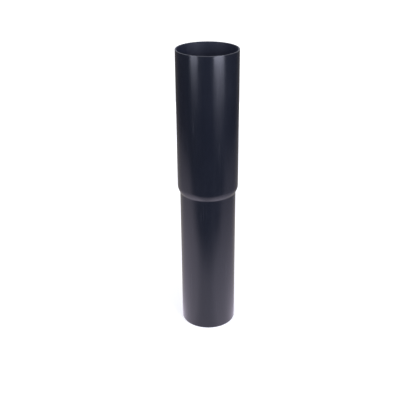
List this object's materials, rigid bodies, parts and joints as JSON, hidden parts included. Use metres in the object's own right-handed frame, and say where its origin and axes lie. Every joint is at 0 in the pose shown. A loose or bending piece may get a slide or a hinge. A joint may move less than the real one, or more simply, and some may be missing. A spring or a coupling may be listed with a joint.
{
  "type": "downpipe",
  "caption": "Upright round plastic rainwater downpipe length, plain below and belled above into a long wide socket with a rounded shoulder between.",
  "frame": {"origin": "centre of the spigot's end face, the lower end that the pipe stands on", "axes": "+Z along the pipe's axis, from the spigot's end up to the socket's mouth; X and Y are any two directions square to it, because the pipe is round"},
  "size_m": [0.0814, 0.0814, 0.39],
  "materials": {
    "pipe_plastic": "satin"
  },
  "bodies": {
    "root": {"downpipe": "pipe_plastic"}
  },
  "joints": []
}
